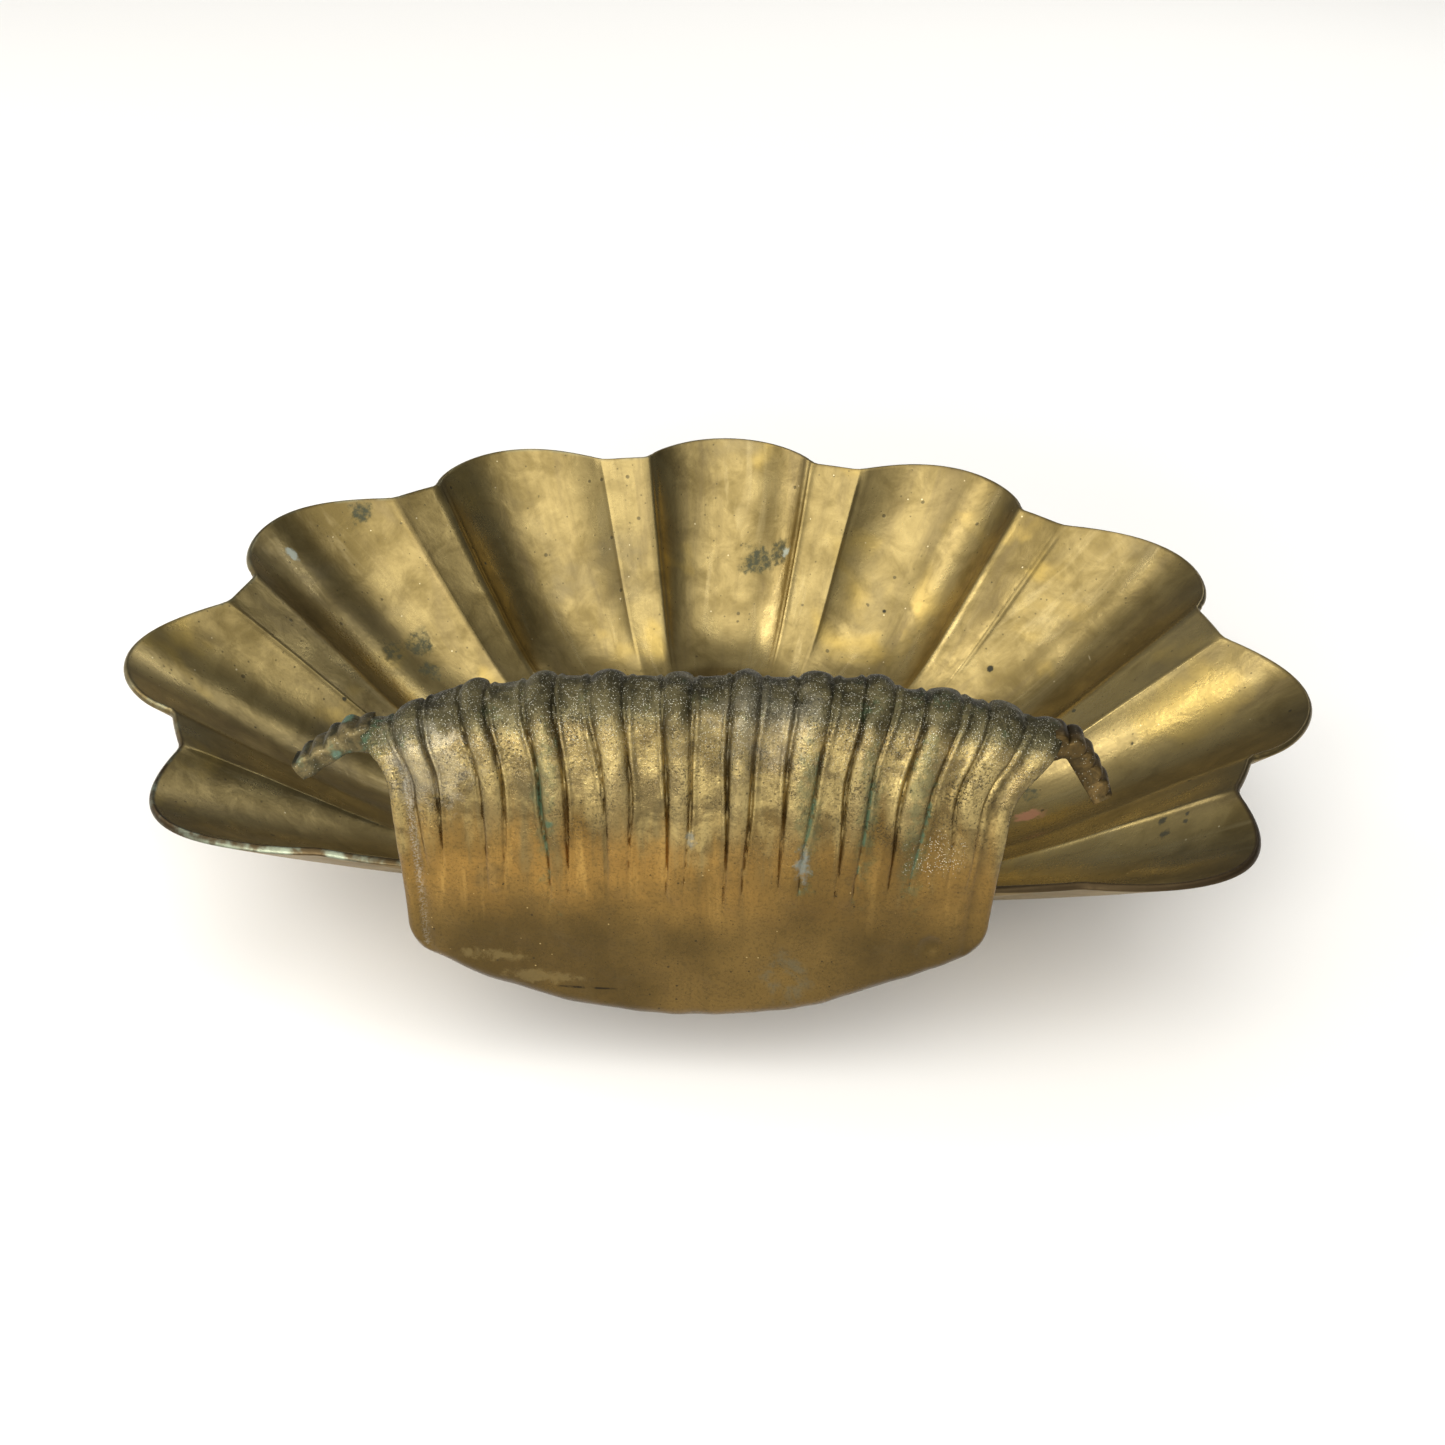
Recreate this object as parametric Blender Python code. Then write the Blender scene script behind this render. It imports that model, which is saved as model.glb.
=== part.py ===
"""Cast brass shell dish: nine hollow lobes round a flat-bottomed bowl, a reeded hinge scroll brazed to the
front of it, and a crimped horn at each upper corner of the scroll.

Metres, +Z up. The origin is under the middle of the bowl, on the surface it stands on. The far lobe points
to +Y and the hinge scroll closes the bowl at -Y. Angles round the bowl are measured from +Y towards +X.
"""

import math

import bmesh
import bpy
import numpy as np

# Driving dimensions.
RADIUS = 0.210  # half width of the bowl, measured to the ridges between the lobes
BOWL_DEPTH_SHARE = 0.890  # half depth of the plan ellipse over its half width
BOWL_WALL = 0.0026  # thickness of the bowl
SCROLL_WALL = 0.0050  # thickness of the hinge scroll
SCROLL_HEIGHT = 0.0732  # top of the scroll above the rim
GAP = 0.0003  # clearance left at every brazed face

# The bowl, as shares of RADIUS unless said otherwise.
LOBES = 9
LOBE_STEP = math.radians(31.2)
RIDGE_SHARE = 0.116  # half of a ridge's width over one lobe's pitch
LOBE_BULGE = 0.106  # how far a lobe swells beyond the ridges at the rim
STEEP_POWER = 0.72  # a lobe rises steeply from its edge nearer the front, and the far lobe from both edges
GENTLE_POWER = 0.98  # and gently from its edge nearer the far lobe
STRAY = math.radians(1.1)  # one ridge stands this much nearer the front, a slip of the hand-made pattern
STRAY_PULL = 0.030  # and is drawn in by this share
STRAY_AT = math.radians(-80)
STRAY_SPAN = math.radians(13)
FRONT_LINE = 0.682  # distance of the straight front rim from the middle
FRONT_BOW = 0.018  # how far the middle of the front rim bows out
FLOOR_DEPTH = 0.390  # inside depth of the bowl below the rim
FLAT_SHARE = 0.945  # the floor is flat from this share of the depth on
FLOOR_START = 0.470  # share of a ray at which the sloping side meets the floor
FLOOR_START_SHIFT = 0.100  # the far side is steeper than the middle by this much
NEAR_EASE = 0.110  # the two nearest lobes slope more gently by this much
FLOOR_BLEND = 6  # sharpness of the turn from side to floor

# The scroll, as shares of RADIUS.
SCROLL_HALF_WIDTH = 0.458
SCROLL_WIDENING = 0.022  # gained on each side up to the flare
SCROLL_FLARE = 0.084  # gained on each side at the top corner
SCROLL_FOOT_DROP = 0.264  # lowest point of the scroll below the rim
SCROLL_FOOT_RISE = 0.134  # how much higher its lower corners are
SCROLL_TOP_FALL = 0.062  # how much lower its upper corners are
SCROLL_LEAN = 0.021  # its left side hangs this much lower, and its right side higher
SOLE_END = 0.625  # the turned-under edge stops this far from the middle
HEEL_RADIUS = 0.036
ROLL_RADIUS = 0.062
ROLL_END = math.radians(38)  # the rolled lip stops at this angle above level, past its top
REEDS = 10
REED_PITCH = 0.195  # share of the half width
REED_HALF = 0.042
REED_HEIGHT = 0.0078
REED_FOOT = 0.23  # the reeds run out this far above the scroll's lowest point

# The crimped horns.
HORN_DROOP = {"left": math.radians(40), "right": math.radians(57)}
HORN_LENGTH = {"left": 0.134, "right": 0.146}
HORN_DEPTH = 0.050
HORN_HEIGHT = 0.038
HORN_SET_DOWN = 0.010  # its middle starts this far below the scroll's corner
HORN_TAPER = 0.30  # share of its height lost by the tip
CRIMPS = 5
CRIMP_DEPTH = 0.0045

RIM_HEIGHT = FLAT_SHARE * FLOOR_DEPTH * RADIUS + BOWL_WALL  # rim above the ground


def clear_scene():
    """Leaves the file with nothing in it."""
    for obj in list(bpy.data.objects):
        bpy.data.objects.remove(obj, do_unlink=True)


def brass(name, colour, roughness):
    """A plain metallic material in one shade of brass."""
    material = bpy.data.materials.new(name)
    material.use_nodes = True
    shader = material.node_tree.nodes["Principled BSDF"]
    shader.inputs["Base Color"].default_value = (*colour, 1.0)
    shader.inputs["Metallic"].default_value = 1.0
    shader.inputs["Roughness"].default_value = roughness
    return material


def smooth(x):
    """Eases from 0 to 1."""
    x = np.clip(x, 0.0, 1.0)
    return x * x * (3 - 2 * x)


# ---------------------------------------------------------------- the bowl's surface


def stray(angle):
    """1 at the one ridge that is out of place, 0 away from it."""
    return math.exp(-(((angle - STRAY_AT) / STRAY_SPAN) ** 2))


def lobe_swell(angle):
    """0 on a ridge and in the front, up to 1 in the middle of a lobe."""
    place = (angle + STRAY * stray(angle) + LOBES * LOBE_STEP / 2) / LOBE_STEP
    if place <= 0 or place >= LOBES:
        return 0.0
    across = min(max((place % 1 - RIDGE_SHARE) / (1 - 2 * RIDGE_SHARE), 0.0), 1.0)
    lobe = int(place)
    power = STEEP_POWER
    if lobe != LOBES // 2:
        from_steep = across if lobe < LOBES // 2 else 1 - across
        power += (GENTLE_POWER - STEEP_POWER) * float(smooth(from_steep))
    return math.sin(math.pi * across) ** power


def front_weight(angle):
    """1 in the middle of the bowl's front, 0 from the first and last lobes on."""
    gap = math.pi - LOBES * LOBE_STEP / 2
    return float(smooth(1.0 - (math.pi - abs(angle)) / gap) ** 0.6)


def soft_min(a, b, power=16):
    return (a**-power + b**-power) ** (-1 / power)


def front_limit(angle):
    """Distance from the middle to the straight front rim, or far away where a ray misses it."""
    if math.cos(angle) > -0.05:
        return 20.0
    return (FRONT_LINE + FRONT_BOW * front_weight(angle)) / -math.cos(angle)


def plan_rays(angle):
    """The length of one ray to the ridges' outline, and what the lobe adds to it at the rim."""
    ellipse = 1 / math.hypot(math.sin(angle), math.cos(angle) / BOWL_DEPTH_SHARE)
    ellipse *= 1 - STRAY_PULL * stray(angle)
    base = soft_min(ellipse, front_limit(angle))
    full = soft_min(ellipse + LOBE_BULGE * lobe_swell(angle), front_limit(angle))
    return base, full - base


def side_depth(angle, inward):
    """Depth below the rim at a share of the way in, as a share of RADIUS."""
    ease = NEAR_EASE * smooth((abs(angle) - math.radians(108)) / math.radians(30))
    start = FLOOR_START - FLOOR_START_SHIFT * math.cos(angle) + ease
    x = inward / start
    slope = x / (1 + x**FLOOR_BLEND) ** (1 / FLOOR_BLEND)
    wall = (1 - (1 - inward) ** 3) ** 0.62
    weight = front_weight(angle)
    return FLOOR_DEPTH * min((1 - weight) * slope + weight * wall, FLAT_SHARE)


def inside_point(angle, inward):
    """A point of the bowl's inside: inward is 0 at the rim and 1 in the middle."""
    base, extra = plan_rays(angle)
    fade = float(1 - smooth(inward / 0.86))
    reach = RADIUS * (base * (1 - inward) + extra * fade)
    z = RIM_HEIGHT - RADIUS * side_depth(angle, inward)
    return np.array([reach * math.sin(angle), reach * math.cos(angle), z])


def inside_normal(angle, inward):
    """The unit normal of the bowl's inside, pointing up out of the metal."""
    step = 0.004
    low = max(inward - step, 0.0)
    along = inside_point(angle, inward + step) - inside_point(angle, low)
    round_it = inside_point(angle + step, inward) - inside_point(angle - step, inward)
    normal = np.cross(along, round_it)
    normal /= np.linalg.norm(normal)
    return normal if normal[2] > 0 else -normal


def outside_point(angle, inward):
    """The matching point of the bowl's outside, with the foot ground flat."""
    point = inside_point(angle, inward) - BOWL_WALL * inside_normal(angle, inward)
    point[2] = max(point[2], 0.0)
    return point


def bowl_angles():
    """Angles of the bowl's columns: the creases of each ridge, its crown, and even steps across a lobe."""
    start = -LOBES * LOBE_STEP / 2
    angles = []
    for lobe in range(LOBES):
        for share in np.linspace(RIDGE_SHARE, 1 - RIDGE_SHARE, 8):
            angles.append(start + (lobe + share) * LOBE_STEP)
        if lobe < LOBES - 1:
            angles.append(start + (lobe + 1) * LOBE_STEP)
    angles = [a - STRAY * stray(a - STRAY * stray(a)) for a in angles]
    front = np.linspace(-start, 2 * math.pi + start, 13)
    angles.extend(a - 2 * math.pi if a > math.pi else a for a in front)
    return angles


def make_bowl(material):
    """The nine-lobed bowl: an inside and an outside skin that meet at the rim."""
    angles = bowl_angles()
    rings = list(np.linspace(0, 0.62, 8)) + [0.69, 0.76, 0.86]
    mesh = bmesh.new()
    skins = []
    for point_at in (inside_point, outside_point):
        rows = [[mesh.verts.new(point_at(a, t)) for a in angles] for t in rings]
        skins.append(rows)
    middle_in = mesh.verts.new((0, 0, BOWL_WALL))
    middle_out = mesh.verts.new((0, 0, 0))
    count = len(angles)
    for j in range(count):
        k = (j + 1) % count
        for i in range(len(rings) - 1):
            a, b = skins[0][i], skins[0][i + 1]
            mesh.faces.new((a[j], b[j], b[k], a[k]))
            a, b = skins[1][i], skins[1][i + 1]
            mesh.faces.new((a[k], b[k], b[j], a[j]))
        mesh.faces.new((skins[0][-1][j], middle_in, skins[0][-1][k]))
        mesh.faces.new((skins[1][-1][k], middle_out, skins[1][-1][j]))
        mesh.faces.new((skins[0][0][k], skins[1][0][k], skins[1][0][j], skins[0][0][j]))
    return add_object("shell_bowl", mesh, material, 32)


# ---------------------------------------------------------------- the hinge scroll


def scroll_heights(across):
    """The lowest and highest z of the scroll at a share of its half width."""
    lean = SCROLL_LEAN * across
    low = lean - SCROLL_FOOT_DROP + SCROLL_FOOT_RISE * across**2
    high = lean + SCROLL_HEIGHT / RADIUS - SCROLL_TOP_FALL * across**2
    return RIM_HEIGHT + RADIUS * low, RIM_HEIGHT + RADIUS * high


def scroll_face_y(across):
    """Where the scroll's front face stands, just in front of the bowl's front rim."""
    bow = FRONT_LINE + FRONT_BOW * (1 - across**2)
    return -(RADIUS * bow + BOWL_WALL + GAP + SCROLL_WALL)


def scroll_half_width(z):
    """Half width of the scroll at a height: nearly straight sides, flared at the top corners."""
    above = (z - RIM_HEIGHT) / RADIUS
    widening = SCROLL_WIDENING * smooth((above + 0.15) / 0.5)
    flare = SCROLL_FLARE * smooth((above - 0.16) / 0.26) ** 1.6
    return RADIUS * (SCROLL_HALF_WIDTH + widening + flare)


def reed_places():
    """Centres of the reeds across the scroll, hand spaced: slightly closer towards the left."""
    first = -REED_PITCH * (REEDS - 1) / 2
    return [first + REED_PITCH * i + 0.03 * math.sin(math.pi * i / 8) for i in range(REEDS)]


def reed_relief(across, fade):
    """Height of the reeds over the scroll's plain face."""
    for centre in reed_places():
        distance = abs(across - centre) / REED_HALF
        if distance < 1:
            return RADIUS * REED_HEIGHT * fade * math.cos(math.pi / 2 * distance)
    return 0.0


def scroll_profile(across, stage):
    """A point (y, z) of the scroll's plain front face and its outward direction.

    stage runs 0 to 1 along the sole, 1 to 2 round the heel, 2 to 3 up the face and 3 to 4 over the roll.
    """
    low, high = scroll_heights(across)
    face = scroll_face_y(across)
    heel, roll = HEEL_RADIUS * RADIUS, ROLL_RADIUS * RADIUS
    if stage <= 1:
        start = -SOLE_END * RADIUS
        return start + (face + heel - start) * stage, low, 0.0, -1.0
    if stage <= 2:
        turn = math.pi / 2 * (stage - 1)
        out_y, out_z = -math.sin(turn), -math.cos(turn)
        return face + heel + heel * out_y, low + heel + heel * out_z, out_y, out_z
    if stage <= 3:
        share = stage - 2
        return face, low + heel + (high - roll - low - heel) * share, -1.0, 0.0
    turn = (math.pi - ROLL_END) * (stage - 3)
    out_y, out_z = -math.cos(turn), math.sin(turn)
    return face + roll + roll * out_y, high - roll + roll * out_z, out_y, out_z


def scroll_point(across, stage, lift):
    """A point of the scroll, lifted off its plain front face by lift."""
    y, z, out_y, out_z = scroll_profile(across, stage)
    x = across * scroll_half_width(z)
    return x, y + out_y * lift, z + out_z * lift


def scroll_columns():
    """Shares of the half width for the scroll's columns: five to a reed, one between."""
    shares = {-1.0, 1.0}
    places = reed_places()
    for centre in places:
        shares.update(centre + REED_HALF * s for s in (-1, -0.5, 0, 0.5, 1))
    shares.update((a + b) / 2 for a, b in zip(places, places[1:]))
    return sorted(shares)


def reed_fade(across, stage):
    """The reeds run out towards the foot of the face and keep their height over the roll."""
    low, _ = scroll_heights(across)
    _, z, _, _ = scroll_profile(across, stage)
    if stage < 2:
        return 0.0
    foot = RIM_HEIGHT + RADIUS * (REED_FOOT - SCROLL_FOOT_DROP + 0.04 * across**2)
    return float(0.35 * smooth((z - foot) / (0.03 * RADIUS)) + 0.65 * smooth((z - foot) / (0.4 * RADIUS)))


def make_scroll(material):
    """The reeded hinge scroll: a thick plate, turned under at the foot and rolled back at the top."""
    stages = [0, 0.5, 1, 1.33, 1.67, 2, 2.22, 2.36, 2.5, 2.66, 2.83, 3, 3.2, 3.4, 3.6, 3.8, 4]
    columns = scroll_columns()
    mesh = bmesh.new()
    front = []
    back = []
    for stage in stages:
        lifts = [reed_relief(u, reed_fade(u, stage)) for u in columns]
        front.append([mesh.verts.new(scroll_point(u, stage, h)) for u, h in zip(columns, lifts)])
        back.append([mesh.verts.new(scroll_point(u, stage, -SCROLL_WALL)) for u in columns])
    close_plate(mesh, front, back)
    return add_object("hinge_scroll", mesh, material, 40)


def close_plate(mesh, front, back):
    """Faces for two grids of vertices that lie back to back, with their four edges closed."""
    rows, count = len(front), len(front[0])
    for i in range(rows - 1):
        for j in range(count - 1):
            mesh.faces.new((front[i][j], front[i][j + 1], front[i + 1][j + 1], front[i + 1][j]))
            mesh.faces.new((back[i][j], back[i + 1][j], back[i + 1][j + 1], back[i][j + 1]))
        mesh.faces.new((front[i][0], front[i + 1][0], back[i + 1][0], back[i][0]))
        mesh.faces.new((front[i][-1], back[i][-1], back[i + 1][-1], front[i + 1][-1]))
    for j in range(count - 1):
        mesh.faces.new((front[0][j], back[0][j], back[0][j + 1], front[0][j + 1]))
        mesh.faces.new((front[-1][j], front[-1][j + 1], back[-1][j + 1], back[-1][j]))


# ---------------------------------------------------------------- horns and braze


def horn_start(sign):
    """Where a horn leaves the scroll's upper corner: x, y and z of the corner's side face."""
    _, high = scroll_heights(sign)
    z = high - HORN_SET_DOWN * RADIUS
    x = max(scroll_half_width(high), scroll_half_width(z)) + GAP
    return x, scroll_face_y(1.0) + ROLL_RADIUS * RADIUS, z


def horn_section(side, share):
    """Centre, depth direction and upward direction of the horn's section at a share of its length."""
    sign = -1 if side == "left" else 1
    x0, y0, z0 = horn_start(sign)
    length = HORN_LENGTH[side] * RADIUS
    droop = HORN_DROOP[side]
    steps = 24
    x, z = x0, z0
    for i in range(int(round(share * steps))):
        turn = droop * smooth((i + 0.5) / steps / 0.45)
        x += length / steps * math.cos(turn)
        z -= length / steps * math.sin(turn)
    turn = droop * smooth(share / 0.45)
    y = y0 - 0.02 * RADIUS * share**2
    return sign * x, y, z, sign * math.sin(turn), math.cos(turn)


def make_horn(side, material):
    """One crimped horn: a flat bar that droops from the corner, notched across its upper side."""
    stations = 4 * CRIMPS + 1
    half_depth = HORN_DEPTH * RADIUS / 2
    half_height = HORN_HEIGHT * RADIUS / 2
    mesh = bmesh.new()
    rings = []
    for i in range(stations):
        share = i / (stations - 1)
        x, y, z, up_x, up_z = horn_section(side, round(share * 24) / 24)
        notch = CRIMP_DEPTH * RADIUS * (1 - math.cos(2 * math.pi * CRIMPS * share))
        slim = 1 - HORN_TAPER * share
        corners = [(-1, -slim, 0), (1, -slim, 0), (1, slim, 1), (0, 1.12 * slim, 1), (-1, slim, 1)]
        ring = []
        for deep, tall, cut in corners:
            rise = tall * half_height - cut * notch
            ring.append(mesh.verts.new((x + up_x * rise, y + deep * half_depth, z + up_z * rise)))
        rings.append(ring)
    close_bar(mesh, rings)
    return add_object(f"{side}_horn", mesh, material, 30)


def close_bar(mesh, rings):
    """Side faces between rings of vertices, and a face over each end."""
    count = len(rings[0])
    for a, b in zip(rings, rings[1:]):
        for j in range(count):
            k = (j + 1) % count
            mesh.faces.new((a[j], a[k], b[k], b[j]))
    mesh.faces.new(rings[0])
    mesh.faces.new(reversed(rings[-1]))
    bmesh.ops.recalc_face_normals(mesh, faces=mesh.faces)


def make_braze(material):
    """The braze fillet that lies on the bowl's front rim, against the back of the scroll."""
    size = 0.0032
    mesh = bmesh.new()
    rings = []
    for share in np.linspace(-0.93, 0.93, 25):
        x = share * scroll_half_width(RIM_HEIGHT)
        wall = scroll_face_y(share) + SCROLL_WALL + GAP
        bottom = RIM_HEIGHT + GAP
        corners = [(wall, bottom), (wall + size, bottom), (wall + 0.45 * size, bottom + 0.45 * size)]
        corners.append((wall, bottom + size))
        rings.append([mesh.verts.new((x, y, z)) for y, z in corners])
    close_bar(mesh, rings)
    return add_object("braze_fillet", mesh, material, 30)


def add_object(name, mesh, material, sharp_degrees):
    """Turns a bmesh into a smooth-shaded object of its own."""
    mesh.normal_update()
    data = bpy.data.meshes.new(name)
    mesh.to_mesh(data)
    mesh.free()
    data.materials.append(material)
    data.shade_smooth()
    data.set_sharp_from_angle(angle=math.radians(sharp_degrees))
    obj = bpy.data.objects.new(name, data)
    bpy.context.scene.collection.objects.link(obj)
    return obj


def build():
    clear_scene()
    bowl_brass = brass("bowl_brass", (0.42, 0.31, 0.11), 0.36)
    scroll_brass = brass("scroll_brass", (0.36, 0.24, 0.09), 0.42)
    horn_brass = brass("horn_brass", (0.24, 0.19, 0.09), 0.55)
    braze_metal = brass("braze_metal", (0.45, 0.36, 0.16), 0.5)
    make_bowl(bowl_brass)
    make_scroll(scroll_brass)
    make_horn("left", horn_brass)
    make_horn("right", horn_brass)
    make_braze(braze_metal)


build()
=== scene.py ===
"""The looks of the brass shell dish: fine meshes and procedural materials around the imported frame.

Metres, +Z up. The far lobe points to +Y and the hinge scroll closes the bowl at -Y. Angles round the bowl
are measured from +Y towards +X. The shapes repeat the CAD's formulas at a finer resolution, but the scroll's
top, corners and roll and the horns' places differ a little.
"""

import math

import bpy
import numpy as np
from mathutils import Matrix, Vector


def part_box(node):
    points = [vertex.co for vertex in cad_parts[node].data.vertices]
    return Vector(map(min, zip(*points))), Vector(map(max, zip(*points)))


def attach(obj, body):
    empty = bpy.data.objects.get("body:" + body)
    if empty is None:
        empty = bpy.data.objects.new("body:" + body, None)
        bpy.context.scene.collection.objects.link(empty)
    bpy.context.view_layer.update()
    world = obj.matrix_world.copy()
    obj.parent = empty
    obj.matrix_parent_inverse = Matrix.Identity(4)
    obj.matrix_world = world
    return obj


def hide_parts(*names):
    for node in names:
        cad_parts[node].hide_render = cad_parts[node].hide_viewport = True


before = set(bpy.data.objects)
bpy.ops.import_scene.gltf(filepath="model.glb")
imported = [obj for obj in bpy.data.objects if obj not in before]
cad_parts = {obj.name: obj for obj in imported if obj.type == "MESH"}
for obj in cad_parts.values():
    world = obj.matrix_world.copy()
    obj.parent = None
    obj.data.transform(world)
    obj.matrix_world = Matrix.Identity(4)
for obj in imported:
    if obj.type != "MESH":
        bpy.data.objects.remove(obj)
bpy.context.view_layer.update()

# Driving dimensions.

RADIUS = 0.210  # half width, to the ridges
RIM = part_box("shell_bowl")[1][2]  # height of the rim
BOWL_DEPTH_SHARE = 0.890  # depth over width of the plan
BOWL_WALL = 0.0026
SCROLL_WALL = 0.0050
SCROLL_HEIGHT = 0.0722
GAP = 0.0003  # clearance left at every brazed face

# The bowl, as shares of RADIUS unless said otherwise.
LOBES = 9
LOBE_STEP = math.radians(31.2)
FIRST_RIDGE = -LOBES * LOBE_STEP / 2
RIDGE_SHARE = 0.116  # half of a ridge's width over one lobe's pitch
LOBE_BULGE = 0.106
STEEP_POWER = 0.72  # of a lobe's rise from its front edge
GENTLE_POWER = 0.98
EDGE_SOFTNESS = math.radians(0.9)
STRAY = math.radians(1.1)  # one ridge stands this much nearer the front
STRAY_PULL = 0.030  # and is drawn in by this share
STRAY_AT = math.radians(-80)
STRAY_SPAN = math.radians(13)
FRONT_LINE = 0.682  # distance of the straight front rim from the middle
FRONT_BOW = 0.018
FLOOR_DEPTH = 0.390  # inside depth of the bowl below the rim
FLAT_SHARE = 0.945  # where the floor turns flat
FLOOR_START = 0.470  # share of a ray where the sloping side meets the floor
FLOOR_START_SHIFT = 0.100  # share of a ray
NEAR_EASE = 0.110  # share of a ray
FLOOR_BLEND = 6
CREASE_HEIGHT = 0.0006  # metres
CREASE_HALF = 0.0014  # metres

# The scroll, as shares of RADIUS unless said otherwise.
SCROLL_HALF_WIDTH = 0.458
SCROLL_WIDENING = 0.022
SCROLL_FLARE = 0.084
SCROLL_FOOT_DROP = 0.264  # lowest point of the scroll below the rim
SCROLL_FOOT_RISE = 0.134
SCROLL_TOP_FALL = 0.062
SCROLL_LEAN = 0.021  # its left side hangs this much lower
SOLE_END = 0.625  # the sole's end, from the middle
HEEL_RADIUS = 0.036
ROLL_RADIUS = 0.062
ROLL_END_LOSS = 0.32  # share of its radius lost at its ends
ROLL_END = math.radians(60)  # the lip stops here, above level
LEAN_BACK = 0.0045  # metres
SHOULDER_FALL = 0.014  # fall of its top corners
SHOULDER_FLARE = 0.036  # outward sweep of its top corners
FOOT_CORNER = 0.006  # metres
REEDS = 10
REED_PITCH = 0.195  # share of the half width
REED_HALF = 0.040  # share of the half width
REED_HEIGHT = 0.0019  # metres
REED_FOOT = -0.008  # metres above the rim
GROOVE_DEPTH = 0.0007  # metres
GROOVE_LIP = 0.00075  # metres

# The crimped horns, as shares of RADIUS unless said otherwise.
HORN_DROOP = {"left": math.radians(34), "right": math.radians(57)}
HORN_LENGTH = {"left": 0.150, "right": 0.146}
HORN_DEPTH = 0.050
HORN_HEIGHT = 0.038
HORN_SET_DOWN = 0.010
HORN_WEB = 0.45  # share of its height gained below, at its root
CRIMPS = 5
CRIMP_DEPTH = {"left": 0.0010, "right": 0.0020}  # metres
CRIMP_POWER = {"left": 1.1, "right": 0.7}  # a lower one makes narrower crimps
HORN_LUMPS = {"left": 0.00040, "right": 0.00008}  # metres

BRAZE_SIZE = 0.0032  # metres

# The camera's place, its heading, its tilt below level and its roll.
EYE = Vector((0.0160, -0.6105, RIM + 0.3643))
HEADING = math.radians(1.16)
TILT = math.radians(33.01)
ROLL = math.radians(1.81)
LENS = 44.33


def smooth(x):
    """Eases from 0 to 1."""
    x = np.clip(x, 0.0, 1.0)
    return x * x * (3 - 2 * x)


def bell(x, width):
    """A bump of height 1 with the given half width."""
    return np.exp(-((x / width) ** 2))


def ripple(points, wavelength, seed):
    """A gentle unevenness between about -1 and 1, which callers multiply by a height in metres."""
    draw = np.random.RandomState(seed)
    total = np.zeros(points.shape[:-1])
    waves = 9
    for _ in range(waves):
        direction = draw.normal(size=3)
        direction /= np.linalg.norm(direction)
        length = wavelength * draw.uniform(0.7, 1.6)
        total += np.sin(2 * math.pi * (points @ direction) / length + draw.uniform(0, 2 * math.pi))
    return total / math.sqrt(waves)


# The bowl's surface.


def stray(angle):
    """1 at the ridge that strays, fading to 0 on both sides."""
    return np.exp(-(((angle - STRAY_AT) / STRAY_SPAN) ** 2))


def lobe_place(angle):
    """Whole part: the lobe's number. Fraction: the share of the way across its pitch."""
    return (angle + STRAY * stray(angle) - FIRST_RIDGE) / LOBE_STEP


def lobe_swell(angle):
    """How far a lobe swells, 0 to 1, with its two edges rounded over a little."""
    low, high = sharp_swell(angle - EDGE_SOFTNESS), sharp_swell(angle + EDGE_SOFTNESS)
    return (low + 2 * sharp_swell(angle) + high) / 4


def sharp_swell(angle):
    """0 on a ridge and in the front, up to 1 in a lobe, which rises steeply on the side towards the front."""
    place = lobe_place(angle)
    lobe = np.clip(np.floor(place), 0, LOBES - 1)
    across = np.clip((place - lobe - RIDGE_SHARE) / (1 - 2 * RIDGE_SHARE), 0.0, 1.0)
    turn = np.sign(lobe - LOBES // 2)  # -1 on the left, 0 for the far lobe, 1 on the right
    rising = STEEP_POWER + (GENTLE_POWER - STEEP_POWER) * smooth(across)
    falling = STEEP_POWER + (GENTLE_POWER - STEEP_POWER) * smooth(1 - across)
    power = np.where(turn < 0, rising, np.where(turn > 0, falling, STEEP_POWER))
    swell = np.sin(math.pi * across) ** power
    return np.where((place > 0) & (place < LOBES), swell, 0.0)


def front_weight(angle):
    """0 along the lobes, up to 1 in the middle of the front rim."""
    gap = math.pi + FIRST_RIDGE
    return smooth(1.0 - (math.pi - np.abs(angle)) / gap) ** 0.6


def soft_min(a, b, power=16):
    """The smaller length, rounded over where the two meet."""
    return (a**-power + b**-power) ** (-1 / power)


def front_limit(angle):
    """The length of a ray to the straight front rim, or a long one where the ray doesn't face it."""
    least_facing, unlimited = 0.05, 20.0
    facing = np.maximum(-np.cos(angle), least_facing)
    limit = (FRONT_LINE + FRONT_BOW * front_weight(angle)) / facing
    return np.where(np.cos(angle) > -least_facing, unlimited, limit)


def plan_rays(angle):
    """The length of a ray to the ridges' outline, and what the lobe adds to it at the rim."""
    ellipse = 1 / np.hypot(np.sin(angle), np.cos(angle) / BOWL_DEPTH_SHARE)
    ellipse = ellipse * (1 - STRAY_PULL * stray(angle))
    base = soft_min(ellipse, front_limit(angle))
    full = soft_min(ellipse + LOBE_BULGE * lobe_swell(angle), front_limit(angle))
    return base, full - base


def side_depth(angle, inward):
    """Share of RADIUS below the rim: a slope under the lobes, a steep wall at the front."""
    ease = NEAR_EASE * smooth((np.abs(angle) - math.radians(108)) / math.radians(30))
    start = FLOOR_START - FLOOR_START_SHIFT * np.cos(angle) + ease
    x = inward / start
    slope = x / (1 + x**FLOOR_BLEND) ** (1 / FLOOR_BLEND)
    wall = (1 - (1 - inward) ** 3) ** 0.62
    weight = front_weight(angle)
    return FLOOR_DEPTH * np.minimum((1 - weight) * slope + weight * wall, FLAT_SHARE)


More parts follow.
